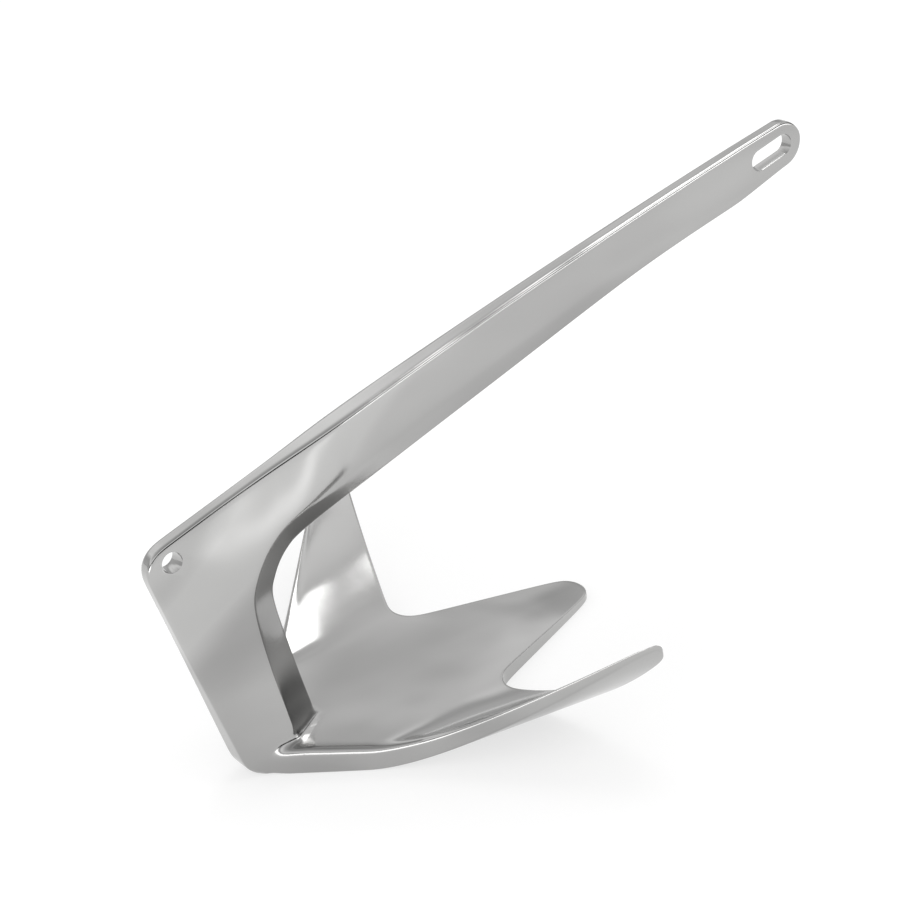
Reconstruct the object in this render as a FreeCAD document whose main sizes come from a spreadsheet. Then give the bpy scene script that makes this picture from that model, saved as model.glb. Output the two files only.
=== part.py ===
"""Claw anchor cast in one piece: a bent flat shank with its eye, and a scoop with three flukes.

Frame: X forward from the heel to the shackle eye, Y across, Z up. The anchor stands on its
sole, which runs from under the heel to the tip of the middle fluke. Millimetres.
"""

import FreeCAD
import Part
import Sketcher
import math
import os

from FreeCAD import Placement, Rotation, Vector

SIZES = {
    # Side view of the shank and the leg.
    "heel_x": -9.5,
    "heel_radius": 9.0,
    "elbow_x": -39.2,
    "elbow_z": 142.0,
    "elbow_radius": 13.0,
    "back_radius": 4400.0,
    "eye_x": 377.0,
    "eye_z": 200.3,
    "eye_radius": 12.7,
    "eye_lean": 7.0,
    "neck_lean": 10.5,
    "neck_length": 118.0,
    "throat_x": 59.0,
    "throat_z": 86.0,
    "throat_radius": 33.0,
    # Shackle slot and trip-line hole.
    "slot_width": 12.0,
    "slot_travel": 16.5,
    "slot_lean": 9.5,
    "trip_x": -23.0,
    "trip_z": 135.5,
    "trip_diameter": 11.0,
    # Scoop: sole, cheeks that are parts of cones, and thickness.
    "heel_thickness": 15.0,
    "tip_thickness": 3.6,
    "scoop_rear": -12.0,
    "scoop_start": 12.0,
    "scoop_end": 216.0,
    "flat_half": 45.0,
    "cheek_round": 1.146,
    "cone_apex": 7.0,
    "cheek_thinning": 11.5,
    "cheek_angle": 76.0,
    # Plan of the scoop.
    "rear_x": -3.0,
    "rear_half": 8.0,
    "wing_x": 163.5,
    "wing_half": 157.0,
    "rear_bow": 2400.0,
    "wing_radius": 5.0,
    "front_x": 131.0,
    "front_half": 78.5,
    "notch_x": 115.5,
    "notch_half": 42.5,
    "notch_radius": 16.0,
    "fluke_x": 190.0,
    "fluke_half": 16.4,
    "fluke_radius": 12.0,
}

# Cross-sections of the shank and leg, from the eye to the crown. Each starts at the inner
# edge (x, z) and runs back at an angle over its depth. The three half thicknesses are at the
# inner nose, at the ridge where the nose bevel ends, and at the outer edge.
SECTION_FIELDS = ("x", "z", "turn", "depth", "bevel", "nose", "ridge", "back")
SECTIONS = {
    "head": (402.0, 187.0, 100.0, 45.0, 3.0, 3.4, 3.6, 3.6),
    "neck": (345.0, 179.5, 100.0, 45.0, 3.5, 3.3, 4.0, 3.83),
    "fore": (273.0, 168.0, 102.0, 45.0, 8.5, 2.8, 4.7, 4.23),
    "middle": (177.0, 146.7, 102.5, 48.0, 11.0, 2.8, 5.8, 5.4),
    "rise": (95.0, 128.3, 102.5, 54.0, 12.5, 2.8, 6.9, 6.45),
    "bend_a": (52.5, 118.3, 104.0, 62.0, 12.5, 2.8, 7.2, 3.1),
    "bend_b": (38.7, 112.0, 128.0, 76.0, 12.5, 2.8, 7.2, 1.6),
    "bend_c": (29.9, 101.5, 152.0, 92.0, 13.0, 2.8, 7.3, 3.1),
    "bend_d": (26.2, 89.5, 174.0, 72.0, 14.0, 2.8, 7.7, 2.6),
    "leg": (28.8, 62.0, 180.0, 62.0, 16.0, 2.8, 9.2, 4.4),
    "shin": (32.5, 34.0, 180.0, 58.0, 18.0, 2.8, 13.0, 5.3),
    "crown": (38.5, -6.0, 180.0, 60.0, 20.5, 2.8, 18.5, 2.7),
}


class Term:
    """A size with its text for an expression and its value for the first drawing."""

    def __init__(self, text, value):
        self.text, self.value = text, float(value)

    def joined(self, sign, other, value):
        return Term(f"({self.text} {sign} {other.text})", value)

    def __add__(self, other):
        other = term(other)
        return self.joined("+", other, self.value + other.value)

    def __sub__(self, other):
        other = term(other)
        return self.joined("-", other, self.value - other.value)

    def __mul__(self, other):
        other = term(other)
        return self.joined("*", other, self.value * other.value)

    def __truediv__(self, other):
        other = term(other)
        return self.joined("/", other, self.value / other.value)


def term(value):
    return value if isinstance(value, Term) else Term(repr(float(value)), value)


def sine(angle):
    return Term(f"sin({angle.text})", math.sin(math.radians(angle.value)))


def cosine(angle):
    return Term(f"cos({angle.text})", math.cos(math.radians(angle.value)))


def size(name):
    return Term(f"Sizes.{name}", sheet.get(name))


def origin_plane(body, role):
    return next(item for item in body.Origin.OriginFeatures if item.Role == role)


def new_body(name):
    body = doc.addObject("PartDesign::Body", name)
    body.Label = name
    return body


def new_sketch(body, name, role, axis=None, turn=None, offset=None):
    """A sketch on an origin plane of its body, moved by offset and turned about axis."""
    sketch = body.newObject("Sketcher::SketchObject", name)
    sketch.AttachmentSupport = [(origin_plane(body, role), "")]
    sketch.MapMode = "FlatFace"
    if axis is not None:
        sketch.AttachmentOffset = Placement(Vector(), Rotation(axis, 1.0))
        sketch.setExpression("AttachmentOffset.Rotation.Angle", turn.text)
    for letter, value in (offset or {}).items():
        sketch.setExpression(f"AttachmentOffset.Base.{letter}", value.text)
    return sketch


def draw(sketch, corners, radii=None):
    """A closed outline: corners are pairs of terms, radii {edge: (radius, bulge side)}."""
    radii = radii or {}
    points = [Vector(x.value, y.value, 0) for x, y in corners]
    count = len(points)
    for edge in range(count):
        start, end = points[edge], points[(edge + 1) % count]
        if edge in radii:
            radius, side = radii[edge]
            chord = end - start
            half = chord.Length / 2
            sagitta = radius.value - math.sqrt(max(radius.value**2 - half**2, 0.0))
            across = Vector(chord.y, -chord.x, 0).normalize() * (sagitta * side)
            middle = (start + end) / 2 + across
            if (middle - start).cross(end - middle).z < 0:
                start, end = end, start
            sketch.addGeometry(Part.Arc(start, middle, end), False)
        else:
            sketch.addGeometry(Part.LineSegment(start, end), False)
    for edge in range(count):
        following = (edge + 1) % count
        last = arc_end(sketch, edge, points[following])
        first = 3 - arc_end(sketch, following, points[(following + 1) % count])
        sketch.addConstraint(Sketcher.Constraint("Coincident", edge, last, following, first))
    for edge, (x, y) in enumerate(corners):
        point = 3 - arc_end(sketch, edge, points[(edge + 1) % count])
        place(sketch, "DistanceX", edge, point, x)
        place(sketch, "DistanceY", edge, point, y)
        if edge in radii:
            radius = radii[edge][0]
            index = sketch.addConstraint(Sketcher.Constraint("Radius", edge, radius.value))
            sketch.setExpression(f"Constraints[{index}]", radius.text)


def arc_end(sketch, edge, target):
    """1 or 2: which end of this edge lies at the target."""
    curve = sketch.Geometry[edge]
    return 1 if (curve.StartPoint - target).Length < (curve.EndPoint - target).Length else 2


def place(sketch, kind, edge, point, value):
    index = sketch.addConstraint(Sketcher.Constraint(kind, -1, 1, edge, point, value.value))
    sketch.setExpression(f"Constraints[{index}]", value.text)


def pad(body, name, sketch, length):
    feature = body.newObject("PartDesign::Pad", name)
    feature.Profile = sketch
    feature.Midplane = True
    feature.setExpression("Length", length.text)
    doc.recompute()
    return feature


def round_corners(body, name, base, corners, radius, free):
    """Rounds the straight edges of a pad that stand at the given corners.

    free is the index of the coordinate along which those edges run.
    """
    names = []
    for number, edge in enumerate(base.Shape.Edges, 1):
        middle = edge.BoundBox.Center
        flat = [value for index, value in enumerate(middle) if index != free]
        lengths = (edge.BoundBox.XLength, edge.BoundBox.YLength, edge.BoundBox.ZLength)
        upright = lengths[free] > 1 and sum(lengths) - lengths[free] < 1e-3
        if upright and any(math.dist(flat, (a.value, b.value)) < 0.5 for a, b in corners):
            names.append(f"Edge{number}")
    feature = body.newObject("PartDesign::Fillet", name)
    feature.Base = (base, names)
    feature.setExpression("Radius", radius.text)
    doc.recompute()
    return feature


def blade_loft():
    """The shank and leg, oversize at their outer edge."""
    body = new_body("blade")
    sketches = []
    for name in SECTIONS:
        x, z, turn, depth, bevel, nose, ridge, back = (
            size(f"{name}_{field}") for field in SECTION_FIELDS
        )
        sketch = new_sketch(
            body, f"{name}_section", "XY_Plane", Vector(0, -1, 0), turn, {"x": x, "z": z}
        )
        zero = term(0)
        draw(
            sketch,
            [
                (zero, zero - nose), (bevel, zero - ridge), (depth, zero - back),
                (depth, back), (bevel, ridge), (zero, nose),
            ],
        )
        sketches.append(sketch)
    loft = body.newObject("PartDesign::AdditiveLoft", "blade_loft")
    loft.Profile = sketches[0]
    loft.Sections = sketches[1:]
    loft.Ruled = False
    doc.recompute()
    return body


def side_profile():
    """The outline in side view, exact outside and clear of the blade inside."""
    body = new_body("side_view")
    sketch = new_sketch(body, "side_outline", "XZ_Plane")
    lean, neck, radius = size("eye_lean"), size("neck_lean"), size("eye_radius")
    top = (size("eye_x") - radius * sine(lean), size("eye_z") + radius * cosine(lean))
    low = (size("eye_x") + radius * sine(neck), size("eye_z") - radius * cosine(neck))
    length = size("neck_length")
    turn_in = (low[0] - length * cosine(neck), low[1] - length * sine(neck))
    heel = (size("heel_x"), term(0))
    elbow = (size("elbow_x"), size("elbow_z"))
    mouth = (size("throat_x") + size("throat_radius"), size("throat_z"))
    foot = (mouth[0], term(0))
    draw(
        sketch,
        [heel, elbow, top, low, turn_in, mouth, foot],
        {1: (size("back_radius"), -1), 2: (radius, -1)},
    )
    block = pad(body, "side_block", sketch, size("crown_ridge") * 3)
    elbow_round = round_corners(body, "elbow_round", block, [elbow], size("elbow_radius"), 1)
    round_corners(body, "heel_round", elbow_round, [heel], size("heel_radius"), 1)
    return body


def trough():
    """The scoop before its plan is cut: a flat sole between two cheeks that are cones."""
    body = new_body("trough")
    sketches = []
    for end, shape in (
        ("scoop_rear", "scoop_start"), ("scoop_start", "scoop_start"), ("scoop_end", "scoop_end")
    ):
        along = size(shape)
        sketch = new_sketch(body, f"{end}_section", "YZ_Plane", offset={"z": size(end)})
        reach = size("scoop_end") - size("scoop_start")
        share = (along - size("scoop_start")) / reach
        thick = size("heel_thickness") + (size("tip_thickness") - size("heel_thickness")) * share
        cheek = (size("wing_half") - size("flat_half")) / (size("wing_x") - size("cone_apex"))
        inner = size("cheek_round") * cheek * (along - size("cone_apex"))
        outer = inner + thick - size("cheek_thinning")
        wide, tall = sine(size("cheek_angle")), cosine(size("cheek_angle"))
        half, zero = size("flat_half"), term(0)
        right = [
            (half, thick),
            (half + inner * wide, thick + inner - inner * tall),
            (half + outer * wide, outer - outer * tall),
            (half, zero),
        ]
        left = [(zero - y, z) for y, z in reversed(right)]
        draw(
            sketch,
            right + left,
            {0: (inner, 1), 2: (outer, -1), 4: (outer, -1), 6: (inner, 1)},
        )
        sketches.append(sketch)
    loft = body.newObject("PartDesign::AdditiveLoft", "trough_loft")
    loft.Profile = sketches[0]
    loft.Sections = sketches[1:]
    loft.Ruled = True
    doc.recompute()
    return body


def scoop_plan():
    """The plan of the scoop: middle fluke, two rounded notches and two side flukes."""
    body = new_body("plan_view")
    sketch = new_sketch(body, "plan_outline", "XY_Plane")
    right = [
        (size("rear_x"), size("rear_half")),
        (size("wing_x"), size("wing_half")),
        (size("front_x"), size("front_half")),
        (size("notch_x"), size("notch_half")),
        (size("fluke_x"), size("fluke_half")),
    ]
    tip = (size("fluke_x") + size("fluke_radius") * 1.62, size("fluke_half") * 0.55)
    left = [(x, term(0) - y) for x, y in reversed(right)]
    corners = right + [tip, (tip[0], term(0) - tip[1])] + left
    draw(sketch, corners, {0: (size("rear_bow"), -1), 10: (size("rear_bow"), -1)})
    block = pad(body, "plan_block", sketch, size("wing_half") * 2)
    rounds = [
        ("wing_round", [right[1]], "wing_radius"),
        ("notch_round", [right[3]], "notch_radius"),
        ("fluke_round", [right[4], tip], "fluke_radius"),
    ]
    for name, picked, radius in rounds:
        both = picked + [(x, term(0) - y) for x, y in picked]
        block = round_corners(body, name, block, both, size(radius), 2)
    return body


def slot_cutter():
    """The shackle slot: two half circles joined by tangent sides."""
    body = new_body("slot")
    sketch = new_sketch(body, "slot_outline", "XZ_Plane")
    lean, radius = size("slot_lean"), size("slot_width") / 2
    outer = (size("eye_x"), size("eye_z"))
    inner = (
        outer[0] - size("slot_travel") * cosine(lean),
        outer[1] - size("slot_travel") * sine(lean),
    )
    turn = math.radians(lean.value)
    ends = []
    for (x, y), start in ((outer, turn - math.pi / 2), (inner, turn + math.pi / 2)):
        circle = Part.Circle(Vector(x.value, y.value, 0), Vector(0, 0, 1), radius.value)
        arc = Part.ArcOfCircle(circle, start, start + math.pi)
        ends.append((arc.StartPoint, arc.EndPoint))
        sketch.addGeometry(arc, False)
    sketch.addGeometry(Part.LineSegment(ends[0][1], ends[1][0]), False)
    sketch.addGeometry(Part.LineSegment(ends[1][1], ends[0][0]), False)
    for first, last in (((0, 2), (2, 1)), ((2, 2), (1, 1)), ((1, 2), (3, 1)), ((3, 2), (0, 1))):
        sketch.addConstraint(Sketcher.Constraint("Tangent", *first, *last))
    for arc, (x, y) in enumerate((outer, inner)):
        place(sketch, "DistanceX", arc, 3, x)
        place(sketch, "DistanceY", arc, 3, y)
    index = sketch.addConstraint(Sketcher.Constraint("Radius", 0, radius.value))
    sketch.setExpression(f"Constraints[{index}]", radius.text)
    pad(body, "slot_block", sketch, size("crown_ridge") * 3)
    return body


def trip_cutter():
    """The trip-line hole at the elbow."""
    cutter = doc.addObject("Part::Cylinder", "trip_hole")
    cutter.setExpression("Radius", "Sizes.trip_diameter / 2")
    cutter.setExpression("Height", "Sizes.crown_ridge * 3")
    cutter.Placement = Placement(Vector(), Rotation(Vector(1, 0, 0), 90))
    cutter.setExpression("Placement.Base.x", "Sizes.trip_x")
    cutter.setExpression("Placement.Base.y", "Sizes.crown_ridge * 1.5")
    cutter.setExpression("Placement.Base.z", "Sizes.trip_z")
    return cutter


def combine(kind, name, shapes):
    result = doc.addObject(kind, name)
    if kind in ("Part::MultiFuse", "Part::MultiCommon"):
        result.Shapes = shapes
    else:
        result.Base, result.Tool = shapes
    doc.recompute()
    return result


doc = FreeCAD.newDocument("claw_anchor")

sheet = doc.addObject("Spreadsheet::Sheet", "Sizes")
values = dict(SIZES)
for section, numbers in SECTIONS.items():
    values.update({f"{section}_{field}": n for field, n in zip(SECTION_FIELDS, numbers)})
for row, (alias, number) in enumerate(values.items(), 1):
    sheet.set(f"A{row}", alias)
    sheet.set(f"B{row}", repr(number))
    sheet.setAlias(f"B{row}", alias)
doc.recompute()

shank = combine("Part::MultiCommon", "shank_and_leg", [blade_loft(), side_profile()])
scoop = combine("Part::MultiCommon", "scoop", [trough(), scoop_plan()])
casting = combine("Part::MultiFuse", "casting", [shank, scoop])
casting.Refine = True
holes = combine("Part::MultiFuse", "holes", [slot_cutter(), trip_cutter()])
anchor = combine("Part::Cut", "claw_anchor", [casting, holes])
anchor.Label = "claw_anchor"
extent = anchor.Shape.optimalBoundingBox(False, False)
anchor.Placement = Placement(Vector(-(extent.XMin + extent.XMax) / 2, 0, 0), Rotation())
doc.recompute()

for item in doc.Objects:
    if "Invalid" in item.State or "Error" in item.State:
        raise RuntimeError(f"{item.Name} failed: {item.State}")
if anchor.Shape.isNull() or not anchor.Shape.isValid() or len(anchor.Shape.Solids) != 1:
    raise RuntimeError("the anchor is not one valid solid")

os.makedirs("parts", exist_ok=True)
anchor.Shape.exportStep("parts/claw_anchor.step")
print("claw_anchor", round(anchor.Shape.Volume), "mm3")
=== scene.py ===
"""Claw anchor: a polished casting, dressed for a pale floor and soft studio light."""

import logging
import math
from dataclasses import dataclass, field
from enum import Enum
from typing import Sequence

import bmesh
import bpy
from mathutils import Euler, Matrix, Vector, kdtree


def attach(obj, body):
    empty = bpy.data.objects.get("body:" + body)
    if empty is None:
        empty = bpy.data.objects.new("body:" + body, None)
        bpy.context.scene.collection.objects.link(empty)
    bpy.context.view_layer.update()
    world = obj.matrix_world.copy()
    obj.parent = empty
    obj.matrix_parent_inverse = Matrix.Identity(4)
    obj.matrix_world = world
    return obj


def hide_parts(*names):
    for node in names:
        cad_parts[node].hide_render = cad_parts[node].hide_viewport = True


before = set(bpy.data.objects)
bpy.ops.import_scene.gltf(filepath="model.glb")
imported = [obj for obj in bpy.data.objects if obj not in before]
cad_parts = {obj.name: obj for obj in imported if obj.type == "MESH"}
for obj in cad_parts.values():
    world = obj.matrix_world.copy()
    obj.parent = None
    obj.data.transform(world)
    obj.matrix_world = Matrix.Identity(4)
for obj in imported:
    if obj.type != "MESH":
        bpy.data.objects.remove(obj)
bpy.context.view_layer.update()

log = logging.getLogger("claw_anchor")

MM = 0.001
MERGE = 1e-6
TINY = 1e-9
CENTRE_X = 176.43
Point = tuple[float, float]
Point3 = tuple[float, float, float]
Socket = bpy.types.NodeSocket
Source = Socket | float | Point3


def metres(x: float, y: float, z: float) -> Vector:
    """Turns a drawing point in millimetres into a point of the frame in metres."""
    return Vector((x - CENTRE_X, y, z)) * MM


def mix(low: float, high: float, share: float) -> float:
    """Mixes two numbers, where share runs from 0 to 1."""
    return low + (high - low) * share


def along(line: Sequence[Point], value: float) -> float:
    """Reads a line of (key, value) points at a key.

    Args:
        line: Points in rising order of key.
        value: The key to read at.

    Returns:
        The value there, held at both ends.
    """
    if value <= line[0][0]:
        return line[0][1]
    for (k0, v0), (k1, v1) in zip(line, line[1:]):
        if value <= k1:
            return mix(v0, v1, (value - k0) / max(k1 - k0, TINY))
    return line[-1][1]


def rounded(
    before: Point, corner: Point, after: Point, radius: float, steps: int = 8
) -> list[Point]:
    """Rounds a corner of an outline.

    Args:
        before: The point before the corner.
        corner: The sharp corner.
        after: The point after it.
        radius: Radius of the round.
        steps: Number of pieces in the arc.

    Returns:
        The points of the arc, from the side of before to the side of after.
    """
    tip = Vector(corner)
    back = (Vector(before) - tip).normalized()
    ahead = (Vector(after) - tip).normalized()
    half = back.angle(ahead) / 2
    reach = radius / math.tan(half)
    middle = tip + (back + ahead).normalized() * (radius / math.sin(half))
    start = tip + back * reach - middle
    swing = math.pi - 2 * half
    outward = tip - middle
    turn = -1 if start.x * outward.y - start.y * outward.x < 0 else 1
    points = []
    for step in range(steps + 1):
        angle = turn * swing * step / steps
        spot = middle + Matrix.Rotation(angle, 2) @ start
        points.append((spot.x, spot.y))
    return points


class Tone(Enum):
    """Brightness of the surroundings, by the height of the direction above the horizon."""

    GROUND = (-0.03, 0.80)
    SKIRTING = (0.0, 0.04)
    DADO = (0.23, 0.05)
    LOW_WALL = (0.35, 0.70)
    WALL = (0.45, 1.26)
    HIGH_WALL = (0.66, 0.98)
    CEILING = (1.0, 0.36)


class Fade(Enum):
    """How one span of numbers runs onto another."""

    EVEN = "LINEAR"
    SOFT = "SMOOTHSTEP"


@dataclass(frozen=True)
class Cloud:
    """A noise pattern: how fine and detailed it is, and how it is drawn out and leant."""

    scale: float
    detail: float
    stretch: Point3 = (1.0, 1.0, 1.0)
    lean: float = 0.0


class Bench:
    """Adds nodes to the tree of one material or world and joins them up."""

    def __init__(self, tree: bpy.types.NodeTree) -> None:
        """Takes the tree to work on."""
        self.tree = tree

    def add(self, kind: str, **options: str) -> bpy.types.Node:
        """Adds a node and sets its options.

        Args:
            kind: The node's type.
            options: Properties of the node by name.

        Returns:
            The new node.
        """
        node = self.tree.nodes.new(kind)
        for option, choice in options.items():
            setattr(node, option, choice)
        return node

    def feed(self, socket: Socket, source: Source) -> None:
        """Links an output to a socket, or sets the socket's own value.

        Args:
            socket: The input to fill.
            source: An output, or a plain value.
        """
        if isinstance(source, Socket):
            self.tree.links.new(source, socket)
        else:
            socket.default_value = source

    def number(self, kind: str, operation: str, *sources: Source) -> Socket:
        """Works out one number from others.

        Args:
            kind: "ShaderNodeMath" or "ShaderNodeVectorMath".
            operation: The node's operation.
            sources: What goes into its sockets, in their order.

        Returns:
            The output that holds the number.
        """
        node = self.add(kind, operation=operation)
        for socket, source in zip(node.inputs, sources):
            self.feed(socket, source)
        return node.outputs["Value"]

    def math(self, operation: str, *sources: Source) -> Socket:
        """Works out a number from numbers."""
        return self.number("ShaderNodeMath", operation, *sources)

    def vector(self, operation: str, *sources: Source) -> Socket:
        """Works out a number from vectors."""
        return self.number("ShaderNodeVectorMath", operation, *sources)

    def remap(self, source: Socket, span: Point, onto: Point, fade: Fade = Fade.EVEN) -> Socket:
        """Maps one span of numbers onto another, held at both ends.

        Args:
            source: The number.
            span: The span it comes from.
            onto: What the two ends of the span become.
            fade: How it runs between them.

        Returns:
            The output that holds the new number.
        """
        node = self.add("ShaderNodeMapRange", interpolation_type=fade.value)
        self.feed(node.inputs["Value"], source)
        for name, end in zip(("From Min", "From Max", "To Min", "To Max"), span + onto):
            self.feed(node.inputs[name], end)
        return node.outputs["Result"]

    def ramp(self, source: Socket, stops: Sequence[tuple[float, Point3]]) -> Socket:
        """Turns a number from 0 to 1 into a colour.

        Args:
            source: The number.
            stops: Positions in rising order, each with its colour.

        Returns:
            The output that holds the colour.
        """
        node = self.add("ShaderNodeValToRGB")
        elements = node.color_ramp.elements
        while len(elements) < len(stops):
            elements.new(0.5)
        for element, (position, colour) in zip(elements, stops):
            element.position = position
            element.color = (*colour, 1.0)
        self.feed(node.inputs["Fac"], source)
        return node.outputs["Color"]

    def noise(self, place: Socket, cloud: Cloud) -> Socket:
        """Makes a cloud, stretched along a line that leans up from the shank's run.

        Args:
            place: The coordinates.
            cloud: The pattern.

        Returns:
            The output that holds the cloud.
        """
        mapping = self.add("ShaderNodeMapping")
        self.feed(mapping.inputs["Scale"], cloud.stretch)
        self.feed(mapping.inputs["Rotation"], (0.0, math.radians(cloud.lean), 0.0))
        self.feed(mapping.inputs["Vector"], place)
        texture = self.add("ShaderNodeTexNoise")
        self.feed(texture.inputs["Scale"], cloud.scale)
        self.feed(texture.inputs["Detail"], cloud.detail)
        self.feed(texture.inputs["Vector"], mapping.outputs["Vector"])
        return texture.outputs["Fac"]

    def bump(self, height: Socket, strength: float, distance: float) -> bpy.types.Node:
        """Adds a node that bends the surface's normal by a height.

        Args:
            height: The height.
            strength: How much of it counts, from 0 to 1.
            distance: What a height of 1 stands for, in metres.

        Returns:
            The new node.
        """
        node = self.add("ShaderNodeBump")
        self.feed(node.inputs["Height"], height)
        self.feed(node.inputs["Strength"], strength)
        self.feed(node.inputs["Distance"], distance)
        return node


@dataclass(frozen=True)
class PolishedSteel:
    """Polished stainless steel with the faint waves that a buffing wheel leaves."""

    name: str = "polished_stainless"
    colour: Point3 = (0.48, 0.478, 0.473)
    dull_share: float = 0.72
    dull_to_bright: Point = (0.34, 0.66)
    mottle: Cloud = Cloud(11.0, 2.5, (0.45, 1.0, 1.3), 32.0)
    # Painted highlight: a soft sheen band across the elbow, lighter as if light fell along it.
    sheen_line_at: Point = (-0.1439, 0.1365)
    sheen_lean: float = 34.0
    sheen_edge: Point = (0.004, 0.026)
    sheen_gain: float = 0.3
    haze: Cloud = Cloud(22.0, 5.0)
    haze_span: Point = (0.3, 0.7)
    rough: Point = (0.10, 0.19)
    waves: Cloud = Cloud(9.0, 1.5)
    wave_height: float = 0.011
    grain: Cloud = Cloud(420.0, 2.0)
    grain_strength: float = 0.03
    grain_height: float = 0.0002

    def build(self) -> bpy.types.Material:
        """Builds the finish from nodes on Object coordinates.

        Returns:
            The material.
        """
        material = bpy.data.materials.new(self.name)
        material.use_nodes = True
        bench = Bench(material.node_tree)
        shader = material.node_tree.nodes["Principled BSDF"]
        shader.inputs["Metallic"].default_value = 1.0
        place = bench.add("ShaderNodeTexCoord").outputs["Object"]
        bench.feed(shader.inputs["Base Color"], self.tone(bench, place))
        rough = bench.remap(bench.noise(place, self.haze), self.haze_span, self.rough)
        bench.feed(shader.inputs["Roughness"], rough)
        swell = bench.bump(bench.noise(place, self.waves), 1.0, self.wave_height)
        buffed = bench.bump(
            bench.noise(place, self.grain), self.grain_strength, self.grain_height
        )
        bench.feed(buffed.inputs["Normal"], swell.outputs["Normal"])
        bench.feed(shader.inputs["Normal"], buffed.outputs["Normal"])
        return material

    def tone(self, bench: Bench, place: Socket) -> Socket:
        """Makes the steel's mottled tone, with a painted highlight: one band lighter where a
        sheen falls.

        Args:
            bench: The bench of the material.
            place: The Object coordinates.

        Returns:
            The output that holds the colour.
        """
        lean = math.radians(self.sheen_lean)
        across = bench.vector("DOT_PRODUCT", place, (-math.sin(lean), 0.0, math.cos(lean)))
        level = self.sheen_line_at[1] * math.cos(lean) - self.sheen_line_at[0] * math.sin(lean)
        gap = bench.math("ABSOLUTE", bench.math("SUBTRACT", across, level))
        # Painted highlight: the colour is lighter within a band across the elbow, where a sheen
        # falls.
        painted_sheen = bench.remap(gap, self.sheen_edge, (self.sheen_gain, 0.0), Fade.SOFT)
        mottle_and_sheen = bench.math("ADD", bench.noise(place, self.mottle), painted_sheen)
        dull = tuple(part * self.dull_share for part in self.colour)
        return bench.ramp(mottle_and_sheen, list(zip(self.dull_to_bright, (dull, self.colour))))


def finish_mesh(mesh: bmesh.types.BMesh, name: str) -> bpy.types.Object:
    """Turns a bmesh into an object with outward normals.

    Args:
        mesh: The finished bmesh, in metres; it is freed.
        name: Name of the piece.

    Returns:
        The object, linked to the scene at the origin.
    """
    bmesh.ops.remove_doubles(mesh, verts=mesh.verts, dist=MERGE)
    bmesh.ops.recalc_face_normals(mesh, faces=mesh.faces)
    data = bpy.data.meshes.new(name)
    mesh.to_mesh(data)
    mesh.free()
    data.shade_smooth()
    piece = bpy.data.objects.new(name, data)
    bpy.context.scene.collection.objects.link(piece)
    return piece


def settle(piece: bpy.types.Object) -> None:
    """Replaces a piece's mesh by what its modifiers make of it.

    Args:
        piece: The piece; its modifiers are cleared.
    """
    bpy.context.view_layer.update()
    graph = bpy.context.evaluated_depsgraph_get()
    data = bpy.data.meshes.new_from_object(piece.evaluated_get(graph))
    piece.modifiers.clear()
    old, piece.data = piece.data, data
    bpy.data.meshes.remove(old)


def smoothed(piece: bpy.types.Object, levels: int) -> None:
    """Subdivides a piece by Catmull and Clark's rule and keeps the result as its mesh.

    Args:
        piece: The piece to smooth.
        levels: How often it is subdivided.
    """
    modifier = piece.modifiers.new("smooth", "SUBSURF")
    modifier.levels = modifier.render_levels = levels
    modifier.boundary_smooth = "PRESERVE_CORNERS"
    settle(piece)


@dataclass
class Station:
    """One cross-section of the blade: its inner edge, its direction and its half thicknesses."""

    x: float
    z: float
    turn: float
    bevel: float
    nose: float
    ridge: float
    back: float
    depth: float = 0.0

    def numbers(self) -> list[float]:
        """Gives the sizes in a fixed order."""
        return [self.x, self.z, self.turn, self.bevel, self.nose, self.ridge, self.back]


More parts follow.
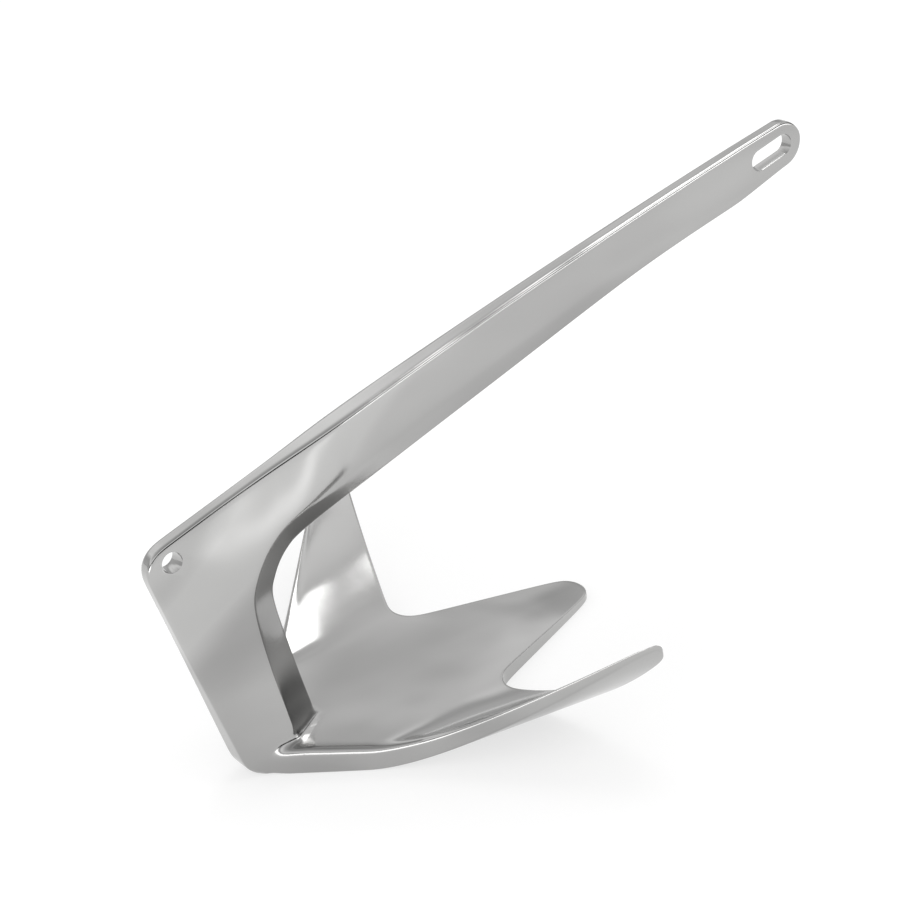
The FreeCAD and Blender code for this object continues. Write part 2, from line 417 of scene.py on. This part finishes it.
@dataclass
class Blade:
    """The bent flat shank and leg, with its eye, its slot and its trip-line hole."""

    heel: Point = (-9.5, 0.0)
    heel_radius: float = 9.0
    elbow: Point = (-39.2, 142.0)
    elbow_radius: float = 13.0
    back_radius: float = 4400.0
    eye: Point = (377.0, 200.3)
    eye_radius: float = 12.7
    eye_lean: float = 9.5
    slot_radius: float = 6.0
    slot_travel: float = 16.5
    trip: Point = (-23.0, 135.5)
    trip_radius: float = 5.5
    rim: float = 3.2
    ridge_softness: tuple[Point, ...] = ((45.0, 1.7), (80.0, 6.0), (230.0, 6.0), (310.0, 1.6))
    nose_rim: float = 0.9
    rim_share: float = 0.3
    sole_z: float = -1.0
    depth_span: Point = (20.0, 140.0)
    halvings: int = 30
    eye_angles: tuple[int, ...] = (-14, 0, 14, 28, 41, 53, 64, 74, 83)
    eye_bevel: float = 3.0
    eye_bevel_share: float = 0.3
    eye_halves: Point3 = (3.45, 3.6, 3.6)
    end_crease: float = 0.4
    end_inset: float = 0.6
    plug_half: float = 20.0
    plug_segments: int = 48
    levels: int = 2
    stations: list[Station] = field(
        default_factory=lambda: [
            Station(37.8, 0.5, 180.0, 20.0, 2.8, 17.8, 8.0),
            Station(35.3, 16.0, 180.0, 19.0, 2.8, 15.4, 7.7),
            Station(32.5, 34.0, 180.0, 18.0, 2.8, 13.0, 7.0),
            Station(28.8, 62.0, 180.0, 16.0, 2.8, 9.2, 5.5),
            Station(26.2, 89.5, 174.0, 14.0, 2.8, 7.7, 4.0),
            Station(29.9, 101.5, 152.0, 13.0, 2.8, 7.3, 4.0),
            Station(38.7, 112.0, 128.0, 12.5, 2.8, 7.2, 4.0),
            Station(52.5, 118.3, 104.0, 12.5, 2.8, 7.2, 4.7),
            Station(95.0, 128.3, 102.5, 12.5, 2.8, 6.9, 6.55),
            Station(177.0, 146.7, 102.5, 11.0, 2.8, 5.8, 5.5),
            Station(273.0, 168.0, 102.0, 8.5, 2.8, 4.7, 4.4),
            Station(345.0, 179.5, 100.0, 3.5, 3.3, 4.0, 3.9),
        ]
    )
    steps: tuple[int, ...] = (2, 2, 4, 4, 8, 8, 6, 4, 6, 6, 5)

    def holds(self, x: float, z: float) -> bool:
        """Tells whether a point lies inside the outer outline of the side view.

        Args:
            x: Its place along the shank.
            z: Its height.

        Returns:
            Whether it is inside the back, the elbow's round and the heel's round.
        """
        heel, elbow = Vector(self.heel), Vector(self.elbow)
        top = Vector(self.top_end())
        up = (elbow - heel).normalized()
        half = (top - elbow).length / 2
        bulge = math.asin(half / self.back_radius)
        chord = (top - elbow).normalized()
        centre = (elbow + top) / 2 + Vector((chord.y, -chord.x)) * (
            self.back_radius * math.cos(bulge)
        )
        run = Matrix.Rotation(bulge, 2) @ chord
        spot = Vector((x, z))
        for corner, first, second, radius in (
            (elbow, -up, run, self.elbow_radius),
            (heel, up, Vector((1.0, 0.0)), self.heel_radius),
        ):
            opening = first.angle(second) / 2
            middle = corner + (first + second).normalized() * (radius / math.sin(opening))
            offset = spot - middle
            reach = radius / math.tan(opening)
            if (spot - corner).dot(first) < reach and (spot - corner).dot(second) < reach:
                return offset.length <= radius
        right_of_back = (spot - heel).x * up.y - (spot - heel).y * up.x > 0
        return right_of_back and (spot - centre).length < self.back_radius and z > self.sole_z

    def top_end(self) -> Point:
        """Gives the point where the back meets the round of the eye.

        Returns:
            The point as (x, z).
        """
        lean = math.radians(self.eye_lean)
        return (
            self.eye[0] - self.eye_radius * math.sin(lean),
            self.eye[1] + self.eye_radius * math.cos(lean),
        )

    def reach(self, station: Station) -> float:
        """Measures a section's depth from its inner edge to the outer outline.

        Args:
            station: The section.

        Returns:
            The depth.
        """
        turn = math.radians(station.turn)
        low, high = self.depth_span
        for _ in range(self.halvings):
            middle = (low + high) / 2
            x = station.x + math.cos(turn) * middle
            z = station.z + math.sin(turn) * middle
            if self.holds(x, z):
                low = middle
            else:
                high = middle
        return low

    def path(self) -> list[Station]:
        """Lists every cross-section from the crown to the end of the eye.

        Returns:
            The sections, with those between the stations on a smooth curve.
        """
        knots = [s.numbers() for s in self.stations]
        knots = [knots[0]] + knots + [knots[-1]]
        result = []
        for index, count in enumerate(self.steps):
            a, b, c, d = knots[index : index + 4]
            for step in range(count):
                t = step / count
                numbers = []
                for p0, p1, p2, p3 in zip(a, b, c, d):
                    slope_in, slope_out = (p2 - p0) / 2, (p3 - p1) / 2
                    numbers.append(
                        (2 * t**3 - 3 * t**2 + 1) * p1 + (t**3 - 2 * t**2 + t) * slope_in
                        + (3 * t**2 - 2 * t**3) * p2 + (t**3 - t**2) * slope_out
                    )
                result.append(Station(*numbers))
        for station in result:
            station.depth = self.reach(station)
        return result + self.eye_sections()

    def eye_sections(self) -> list[Station]:
        """Lists the cross-sections of the neck's end and the round eye.

        Returns:
            The sections.
        """
        lean = math.radians(self.eye_lean)
        ahead = Vector((math.cos(lean), math.sin(lean)))
        above = Vector((-math.sin(lean), math.cos(lean)))
        result = [
            Station(345.0, 179.5, 100.0, 3.5, 3.3, 4.0, 3.9),
            Station(358.0, 182.8, 99.7, 3.0, 3.4, 3.7, 3.7),
        ]
        for station in result:
            station.depth = self.reach(station)
        for angle in self.eye_angles:
            turn = math.radians(angle)
            half = self.eye_radius * (math.cos(turn) if angle > 0 else 1.0)
            spot = Vector(self.eye) + ahead * (self.eye_radius * math.sin(turn)) - above * half
            depth = 2 * half
            bevel = min(self.eye_bevel, depth * self.eye_bevel_share)
            result.append(
                Station(spot.x, spot.y, 90.0 + self.eye_lean, bevel, *self.eye_halves, depth)
            )
        return result

    def ring(self, station: Station) -> list[Vector]:
        """Places the corners of one cross-section, each with a support point on both sides.

        Args:
            station: The section.

        Returns:
            The points in metres, in order round the section.
        """
        turn = math.radians(station.turn)
        inward = Vector((math.cos(turn), 0.0, math.sin(turn)))
        origin = Vector((station.x, 0.0, station.z))
        right = [
            (0.0, station.nose), (station.bevel, station.ridge),
            (station.depth, station.back),
        ]
        corners = right + [(d, -y) for d, y in reversed(right)]
        ridge = along(self.ridge_softness, station.x)
        softness = [self.nose_rim, ridge, self.rim, self.rim, ridge, self.nose_rim]
        points = []
        for index, (depth, y) in enumerate(corners):
            here = Vector((depth, y))
            before = Vector(corners[index - 1])
            after = Vector(corners[(index + 1) % len(corners)])
            for other in (before, None, after):
                spot = here
                if other is not None:
                    gap = other - here
                    step = min(softness[index] / max(gap.length, TINY), self.rim_share)
                    spot = here + gap * step
                points.append(origin + inward * spot.x + Vector((0.0, spot.y, 0.0)))
        return [metres(*p) for p in points]

    def body(self) -> bpy.types.Object:
        """Extrudes the first section along all the others and closes both ends.

        Returns:
            The blade.
        """
        mesh = bmesh.new()
        path = self.path()
        ring = [mesh.verts.new(p) for p in self.ring(path[0])]
        edges = [mesh.edges.new((a, b)) for a, b in zip(ring, ring[1:] + ring[:1])]
        first = mesh.faces.new(ring)
        for station in path[1:]:
            grown = bmesh.ops.extrude_edge_only(mesh, edges=edges)["geom"]
            fresh = {v for v in grown if isinstance(v, bmesh.types.BMVert)}
            paired = []
            for vert in ring:
                paired.append(next(e.other_vert(vert) for e in vert.link_edges
                                   if e.other_vert(vert) in fresh))
            for vert, place in zip(paired, self.ring(station)):
                vert.co = place
            ring = paired
            edges = [mesh.edges.get((a, b)) for a, b in zip(ring, ring[1:] + ring[:1])]
        last = mesh.faces.new(ring)
        crease = mesh.edges.layers.float.new("crease_edge")
        for face in (first, last):
            for edge in face.edges:
                edge[crease] = self.end_crease
        bmesh.ops.inset_individual(
            mesh, faces=[first, last], thickness=self.end_inset * MM
        )
        piece = finish_mesh(mesh, "blade")
        smoothed(piece, self.levels)
        return piece

    def cutter(self, name: str, ends: list[Point], radius: float) -> bpy.types.Object:
        """Makes a round or oblong plug for cutting a hole across the blade.

        Args:
            name: Name of the cutter.
            ends: One centre, or the two centres of a slot.
            radius: Radius of the plug.

        Returns:
            The closed cutter.
        """
        mesh = bmesh.new()
        disc = bmesh.ops.create_circle(
            mesh, cap_ends=True, radius=radius, segments=self.plug_segments
        )["verts"]
        if len(ends) == 2:
            run = Vector(ends[0]) - Vector(ends[1])
            for vert in disc:
                side = vert.co.x * run.x + vert.co.y * run.y
                vert.co += Vector((*(run if side > 0 else -run), 0.0)) / 2
            middle = (Vector(ends[0]) + Vector(ends[1])) / 2
        else:
            middle = Vector(ends[0])
        for vert in disc:
            vert.co = Vector((vert.co.x + middle.x, -self.plug_half, vert.co.y + middle.y))
        grown = bmesh.ops.extrude_face_region(mesh, geom=mesh.faces[:])["geom"]
        for item in grown:
            if isinstance(item, bmesh.types.BMVert):
                item.co.y = self.plug_half
        for vert in mesh.verts:
            vert.co = metres(*vert.co)
        return finish_mesh(mesh, name)

    def cutters(self) -> list[bpy.types.Object]:
        """Makes the plugs of the shackle slot and the trip-line hole.

        Returns:
            The two plugs.
        """
        lean = math.radians(self.eye_lean)
        rear = (
            self.eye[0] - self.slot_travel * math.cos(lean),
            self.eye[1] - self.slot_travel * math.sin(lean),
        )
        return [
            self.cutter("slot_plug", [self.eye, rear], self.slot_radius),
            self.cutter("trip_plug", [self.trip], self.trip_radius),
        ]


@dataclass
class Scoop:
    """The sole with its cheeks, cut to a middle fluke and two side flukes."""

    heel_thickness: float = 15.0
    tip_thickness: float = 3.6
    start: float = 12.0
    end: float = 216.0
    flat_half: float = 45.0
    cone_rate: float = 0.8201
    cone_apex: float = 7.0
    cheek_thinning: float = 11.5
    rear: Point = (-3.0, 8.0)
    rear_bow: float = 2400.0
    wing: Point = (163.5, 157.0)
    wing_radius: float = 5.0
    front: Point = (131.0, 78.5)
    notch: Point = (115.5, 42.5)
    notch_radius: float = 16.0
    fluke: Point = (190.0, 16.4)
    fluke_radius: float = 12.0
    rim: float = 1.6
    roll: float = 0.58
    rim_spread: float = 1.2
    rim_share: float = 0.12
    roll_spread: float = 1.5
    roll_share: float = 0.14
    wall_share: float = 0.3
    cone_limit: float = 0.97
    fluke_nose: Point = (1.62, 0.55)
    bow_steps: int = 16
    tip_gap: float = 0.06
    tip_row: float = 0.4
    columns: int = 22
    marks: tuple[float, ...] = (
        0.0, 2.5, 5.0, 7.5, 10.0, 12.5, 15.5, 19.0, 23.0, 27.0, 31.0, 34.5, 37.5, 40.0,
        42.5, 45.0, 48.0, 51.5, 56.0, 62.0, 69.0, 77.0, 86.0, 95.0, 104.0, 112.0,
        120.0, 127.0, 133.0, 137.5, 140.5, 142.6,
    )
    levels: int = 2

    def thickness(self, x: float) -> float:
        """Gives the sole's thickness at a distance from the heel."""
        share = max(x - self.start, 0.0) / (self.end - self.start)
        return mix(self.heel_thickness, self.tip_thickness, share)

    def heights(self, x: float, y: float) -> tuple[float, float]:
        """Gives the heights of the underside and of the top face at a point of the plan.

        Args:
            x: Its distance from the heel.
            y: Its distance from the middle.

        Returns:
            The lower and the upper height.
        """
        thick = self.thickness(x)
        inner = self.cone_rate * (max(x, self.start) - self.cone_apex)
        outer = inner + thick - self.cheek_thinning
        side = max(abs(y) - self.flat_half, 0.0)
        top = thick + inner - math.sqrt(inner**2 - min(side, self.cone_limit * inner) ** 2)
        low = outer - math.sqrt(outer**2 - min(side, self.cone_limit * outer) ** 2)
        return low, top

    def front_line(self) -> list[Point]:
        """Lists the front outline as (y, x) points from the middle to the wing's tip.

        Returns:
            The points in rising order of y.
        """
        reach, narrow = self.fluke_nose
        end = (self.fluke[0] + self.fluke_radius * reach, self.fluke[1] * narrow)
        mirrored = (end[0], -end[1])
        points = rounded(mirrored, end, self.fluke, self.fluke_radius)
        points += rounded(end, self.fluke, self.notch, self.fluke_radius)
        points += rounded(self.fluke, self.notch, self.front, self.notch_radius)
        points += [self.front]
        points += rounded(self.front, self.wing, self.rear, self.wing_radius)
        line = [(y, x) for x, y in points if y > 0]
        line = [(0.0, max(x for _, x in line))] + line
        ordered = [line[0]]
        for y, x in line[1:]:
            if y > ordered[-1][0]:
                ordered.append((y, x))
        return ordered

    def rear_line(self) -> list[Point]:
        """Lists the rear outline as (y, x) points from the middle to the wing's tip.

        Returns:
            The points in rising order of y.
        """
        start, stop = Vector(self.rear), Vector(self.wing)
        chord = stop - start
        half = chord.length / 2
        sagitta = self.rear_bow - math.sqrt(self.rear_bow**2 - half**2)
        outward = Vector((-chord.y, chord.x)).normalized()
        points = [(0.0, self.rear[0])]
        for step in range(self.bow_steps + 1):
            share = step / self.bow_steps
            spot = start + chord * share + outward * (4 * sagitta * share * (1 - share))
            points.append((spot.y, spot.x))
        tip = rounded(self.front, self.wing, self.rear, self.wing_radius)
        edge = max(y for _, y in tip)
        tail = [(y, x) for x, y in tip[[y for _, y in tip].index(edge) :]]
        return sorted([p for p in points if p[0] < min(y for y, _ in tail)] + tail)

    def rows(self) -> list[float]:
        """Lists the y of the grid's rows on one side of the middle.

        Returns:
            The rows in rising order.
        """
        edge = self.front_line()[-1][0]
        tip = max(edge, self.rear_line()[-1][0]) - self.tip_gap
        inner = [m for m in self.marks if m < tip - 2 * self.tip_row]
        return inner + [tip - self.tip_row, tip]

    def body(self) -> bpy.types.Object:
        """Lays a grid on the plan, thickens it and shapes both faces.

        Returns:
            The scoop.
        """
        front, rear = self.front_line(), self.rear_line()
        half_rows = self.rows()
        rows = [-y for y in reversed(half_rows[1:])] + half_rows
        columns = self.columns
        mesh = bmesh.new()
        bmesh.ops.create_grid(mesh, x_segments=columns, y_segments=len(rows) - 1, size=1.0)
        walls = bmesh.ops.extrude_face_region(mesh, geom=mesh.faces[:])["geom"]
        upper = {item for item in walls if isinstance(item, bmesh.types.BMVert)}
        uprights = [
            e for e in mesh.edges if (e.verts[0] in upper) != (e.verts[1] in upper)
        ]
        for vert in mesh.verts:
            column = round((vert.co.x + 1) / 2 * columns)
            y = rows[round((vert.co.y + 1) / 2 * (len(rows) - 1))]
            back, ahead = along(rear, abs(y)), along(front, abs(y))
            chord = ahead - back
            step = min(self.rim * self.rim_spread, chord * self.rim_share)
            roll = step
            if vert in upper:
                wide = self.roll_spread * self.roll * self.thickness(back)
                roll = max(step, min(wide, chord * self.roll_share))
            if column == 0:
                x = back
            elif column == columns:
                x = ahead
            else:
                x = back + roll + (chord - roll - step) * (column - 1) / (columns - 2)
            low, high = self.heights(x, y)
            vert.co = Vector((x, y, high if vert in upper else low))
        cut = bmesh.ops.subdivide_edges(mesh, edges=uprights, cuts=2, use_grid_fill=True)
        for item in cut["geom_inner"]:
            if isinstance(item, bmesh.types.BMVert):
                x, y = item.co.x, item.co.y
                low, high = self.heights(x, y)
                near = min(self.rim / (high - low), self.wall_share)
                share = (item.co.z - low) / (high - low)
                at_rear = abs(x - along(rear, abs(y))) < abs(x - along(front, abs(y)))
                top = max(self.roll, near) if at_rear else near
                item.co.z = mix(low, high, near if share < 0.5 else 1 - top)
        for vert in mesh.verts:
            vert.co = metres(*vert.co)
        piece = finish_mesh(mesh, "scoop")
        smoothed(piece, self.levels)
        return piece


@dataclass
class Casting:
    """The whole anchor as one closed surface."""

    blade: Blade
    scoop: Scoop
    steel: PolishedSteel
    hole_rim: float = 1.2
    hole_gap: float = 0.05
    lip_angle: float = 1.0
    lip_segments: int = 3
    fillet: float = 9.0
    fillet_grain: float = 1.5
    seam_angle: float = 0.35
    seam_height: float = 60.0
    seam_marks: int = 5
    fillet_cuts: int = 4
    fillet_rounds: tuple[tuple[float, int], ...] = ((1.0, 6), (0.8, 8), (0.6, 10), (0.4, 12))
    crease_angle: float = 38.0

    def build(self) -> bpy.types.Object:
        """Joins blade and scoop, cuts the holes and dresses the casting.

        Returns:
            The casting.
        """
        blade, scoop = self.blade.body(), self.scoop.body()
        cutters = self.blade.cutters()
        for tool, kind in [(c, "DIFFERENCE") for c in cutters] + [(scoop, "UNION")]:
            modifier = blade.modifiers.new(tool.name, "BOOLEAN")
            modifier.object, modifier.operation, modifier.solver = tool, kind, "EXACT"
        settle(blade)
        for tool in cutters + [scoop]:
            bpy.data.objects.remove(tool)
        blade.name = "anchor_casting"
        blade.data.materials.clear()
        blade.data.materials.append(self.steel.build())
        self.soften_holes(blade)
        self.pour_fillet(blade)
        blade.data.shade_smooth()
        blade.data.set_sharp_from_angle(angle=math.radians(self.crease_angle))
        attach(blade, "root")
        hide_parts("claw_anchor")
        log.info("casting: %d faces", len(blade.data.polygons))
        return blade

    def soften_holes(self, piece: bpy.types.Object) -> None:
        """Rounds the rims of the slot and the trip-line hole.

        Args:
            piece: The casting.
        """
        lean = math.radians(self.blade.eye_lean)
        far = Vector(self.blade.eye)
        near = far - Vector((math.cos(lean), math.sin(lean))) * self.blade.slot_travel
        holes = [
            (near, far, self.blade.slot_radius),
            (Vector(self.blade.trip), Vector(self.blade.trip), self.blade.trip_radius),
        ]
        mesh = bmesh.new()
        mesh.from_mesh(piece.data)

        def on_wall(vert: bmesh.types.BMVert) -> bool:
            """Tells whether a vertex lies on the wall of a hole.

            Args:
                vert: The vertex.

            Returns:
                Whether it is on the wall.
            """
            spot = Vector((vert.co.x / MM + CENTRE_X, vert.co.z / MM))
            for start, end, radius in holes:
                run = end - start
                share = 0.0
                if run.length > 0:
                    share = min(max((spot - start).dot(run) / run.length_squared, 0.0), 1.0)
                if abs((spot - start - run * share).length - radius) < self.hole_gap:
                    return True
            return False

        rims = [
            e for e in mesh.edges
            if e.is_manifold and e.calc_face_angle() > self.lip_angle
            and all(on_wall(v) for v in e.verts)
        ]
        bmesh.ops.bevel(
            mesh, geom=rims, offset=self.hole_rim * MM, affect="EDGES",
            segments=self.lip_segments, profile=0.5, material=-1, clamp_overlap=True,
        )
        mesh.to_mesh(piece.data)
        mesh.free()
        log.info("hole rims: %d edges rounded", len(rims))

    def pour_fillet(self, piece: bpy.types.Object) -> None:
        """Blends the foot of the leg into the sole, as the casting and buffing leave it.

        Args:
            piece: The casting.
        """
        mesh = bmesh.new()
        mesh.from_mesh(piece.data)
        seam = [
            e for e in mesh.edges
            if e.is_manifold and e.calc_face_angle_signed() < -self.seam_angle
            and e.verts[0].co.z < self.seam_height * MM
        ]
        marks = self.seam_marks
        shares = [part / (marks - 1) for part in range(marks)]
        tree = kdtree.KDTree(marks * len(seam))
        for index, edge in enumerate(seam):
            ends = [v.co for v in edge.verts]
            for part, share in enumerate(shares):
                tree.insert(ends[0].lerp(ends[1], share), marks * index + part)
        tree.balance()

        def near(spot: Vector, distance: float) -> bool:
            """Tells whether a point is close to the seam."""
            return tree.find(spot)[2] < distance * MM

        for _ in range(self.fillet_cuts):
            edges = []
            for edge in mesh.edges:
                start, end = [v.co for v in edge.verts]
                length = (end - start).length / MM
                if length <= self.fillet_grain:
                    continue
                if not near((start + end) / 2, self.fillet + length / 2):
                    continue
                if any(near(start.lerp(end, share), self.fillet) for share in shares):
                    edges.append(edge)
            bmesh.ops.subdivide_edges(mesh, edges=edges, cuts=1)
            bmesh.ops.triangulate(mesh, faces=[f for f in mesh.faces if len(f.verts) > 4])
        for share, rounds in self.fillet_rounds:
            verts = [v for v in mesh.verts if near(v.co, self.fillet * share)]
            for _ in range(rounds):
                bmesh.ops.smooth_vert(
                    mesh, verts=verts, factor=0.5, use_axis_x=True, use_axis_y=True,
                    use_axis_z=True,
                )
        bmesh.ops.recalc_face_normals(mesh, faces=mesh.faces)
        mesh.to_mesh(piece.data)
        mesh.free()
        log.info("fillet: %d seam edges blended", len(seam))


@dataclass(frozen=True)
class Softbox:
    """One studio lamp: its place, the point it faces, its size and its brightness."""

    name: str
    at: Point3
    aim: Point3
    size: Point
    radiance: float = 3.0

    def hang(self) -> None:
        """Hangs the lamp, whose radiance of 1 would be that of a white wall."""
        data = bpy.data.lights.new(self.name, "AREA")
        data.shape = "RECTANGLE"
        data.size, data.size_y = self.size
        data.energy = self.radiance * math.pi * self.size[0] * self.size[1]
        lamp = bpy.data.objects.new(self.name, data)
        lamp.location = self.at
        lamp.visible_camera = False
        facing = Vector(self.aim) - Vector(self.at)
        lamp.rotation_euler = facing.to_track_quat("-Z", "Y").to_euler()
        bpy.context.scene.collection.objects.link(lamp)


@dataclass
class Studio:
    """The floor, the light and the camera at the photograph's angle."""

    lens: float = 104.0
    sensor: float = 36.0
    camera_at: Point3 = (-0.63493, -0.97701, 0.76461)
    camera_turn: Point3 = (60.2706, 8.5608, -36.4498)
    clip: Point = (0.05, 500.0)
    floor_reach: float = 120.0
    paper: float = 0.35
    paper_rough: float = 0.9
    # Painted shade: the floor's glow is lower close to the anchor, so the metal mirrors a darker
    # floor there.
    floor_glow_and_painted_shade: tuple[Point, ...] = (
        (0.08, 0.64), (0.18, 0.66), (0.30, 0.76), (0.42, 0.77), (0.58, 0.71), (1.0, 0.72)
    )
    # Painted light: an oval pool of glow on the near side, a bright patch in the metal's
    # reflections.
    pool_at: Point3 = (-0.008, -0.365, 0.0)
    pool_size: Point3 = (0.20, 0.048, 1.0)
    pool_turn: float = -58.7
    pool_edge: Point = (0.1, 1.0)
    painted_pool_light: float = 0.5
    far_wall: float = 0.66
    far_wall_span: Point = (-0.5, 0.1)
    room_cloud: Cloud = Cloud(2.6, 2.0)
    room_cloud_span: Point = (0.35, 0.65)
    room_light: Point = (0.86, 1.14)
    lamps: tuple[Softbox, ...] = (
        Softbox("rim_box", (0.58, -0.80, 1.0), (0.0, 0.0, 0.08), (0.5, 0.5)),
        Softbox("window", (0.512, 0.306, 1.1), (-0.1, 0.06, 0.01), (0.68, 0.40)),
        Softbox("left_strip", (-0.95, -0.75, 0.15), (0.0, 0.0, 0.09), (0.9, 0.26)),
        Softbox("right_strip", (0.75, -1.1, 0.09), (0.0, 0.0, 0.09), (0.9, 0.14)),
    )

    def camera(self) -> None:
        """Places the camera."""
        data = bpy.data.cameras.new("camera")
        data.lens, data.sensor_width = self.lens, self.sensor
        data.clip_start, data.clip_end = self.clip
        camera = bpy.data.objects.new("camera", data)
        camera.location = self.camera_at
        camera.rotation_euler = Euler([math.radians(a) for a in self.camera_turn], "XYZ")
        bpy.context.scene.collection.objects.link(camera)
        bpy.context.scene.camera = camera

    def floor(self) -> None:
        """Lays a floor that eye, mirror and glass see as white but for the shadow, painted shade
        and a painted light pool.
        """
        mesh = bmesh.new()
        bmesh.ops.create_grid(mesh, x_segments=1, y_segments=1, size=self.floor_reach)
        floor = finish_mesh(mesh, "floor")
        material = bpy.data.materials.new("paper")
        material.use_nodes = True
        bench = Bench(material.node_tree)
        shader = material.node_tree.nodes["Principled BSDF"]
        shader.inputs["Base Color"].default_value = (self.paper, self.paper, self.paper, 1.0)
        shader.inputs["Roughness"].default_value = self.paper_rough
        shader.inputs["Emission Color"].default_value = (1.0, 1.0, 1.0, 1.0)
        rays = bench.add("ShaderNodeLightPath").outputs
        seen = bench.math("MAXIMUM", rays["Is Camera Ray"], rays["Is Glossy Ray"])
        seen = bench.math("MAXIMUM", seen, rays["Is Transmission Ray"])
        backdrop_and_painted_light = bench.math("MULTIPLY", seen, self.backdrop_and_painted_light(bench))
        bench.feed(shader.inputs["Emission Strength"], backdrop_and_painted_light)
        floor.data.materials.append(material)

    def backdrop_and_painted_light(self, bench: Bench) -> Socket:
        """Spreads the floor's glow round the anchor, lower close to it as painted shade, with a
        painted oval pool of light on the near side.

        Args:
            bench: The bench of the floor's material.

        Returns:
            The output that holds the glow.
        """
        place = bench.add("ShaderNodeTexCoord").outputs["Object"]
        stops = [(reach, (grey, grey, grey)) for reach, grey in self.floor_glow_and_painted_shade]
        # Painted shade: glow by distance from the anchor, lowest close to it.
        rings = bench.ramp(bench.vector("LENGTH", place), stops)
        oval = bench.add("ShaderNodeMapping", vector_type="TEXTURE")
        bench.feed(oval.inputs["Vector"], place)
        bench.feed(oval.inputs["Location"], self.pool_at)
        bench.feed(oval.inputs["Rotation"], (0.0, 0.0, math.radians(self.pool_turn)))
        bench.feed(oval.inputs["Scale"], self.pool_size)
        away = bench.vector("LENGTH", oval.outputs["Vector"])
        # Painted light: a bright oval pool of glow on the near side of the floor.
        painted_pool = bench.remap(away, self.pool_edge, (self.painted_pool_light, 0.0), Fade.SOFT)
        return bench.math("ADD", rings, painted_pool)

    def world(self) -> None:
        """Surrounds the anchor with a pale room, darker along its foot."""
        world = bpy.data.worlds.new("studio")
        bpy.context.scene.world = world
        world.use_nodes = True
        bench = Bench(world.node_tree)
        outward = bench.add("ShaderNodeTexCoord").outputs["Generated"]
        parts = bench.add("ShaderNodeSeparateXYZ")
        bench.feed(parts.inputs["Vector"], outward)
        height = bench.remap(parts.outputs["Z"], (-1.0, 1.0), (0.0, 1.0))
        stops = [((t.value[0] + 1) / 2, (t.value[1],) * 3) for t in Tone]
        far = bench.remap(parts.outputs["Y"], self.far_wall_span, (0.0, self.far_wall))
        room = bench.add("ShaderNodeMix", data_type="RGBA", blend_type="LIGHTEN")
        bench.feed(room.inputs["Factor"], 1.0)
        bench.feed(room.inputs["A"], bench.ramp(height, stops))
        bench.feed(room.inputs["B"], far)
        patches = bench.noise(outward, self.room_cloud)
        light = bench.remap(patches, self.room_cloud_span, self.room_light)
        background = world.node_tree.nodes["Background"]
        bench.feed(background.inputs["Color"], room.outputs["Result"])
        bench.feed(background.inputs["Strength"], light)

    def build(self) -> None:
        """Sets up the whole studio."""
        self.camera()
        self.floor()
        self.world()
        for lamp in self.lamps:
            lamp.hang()
        bpy.context.scene.view_settings.view_transform = "Standard"
        log.info("studio: floor, world, %d lamps and camera", len(self.lamps))


def main() -> None:
    """Builds the anchor and its studio."""
    logging.basicConfig(level=logging.INFO)
    Casting(Blade(), Scoop(), PolishedSteel()).build()
    Studio().build()


if __name__ == "__main__":
    main()
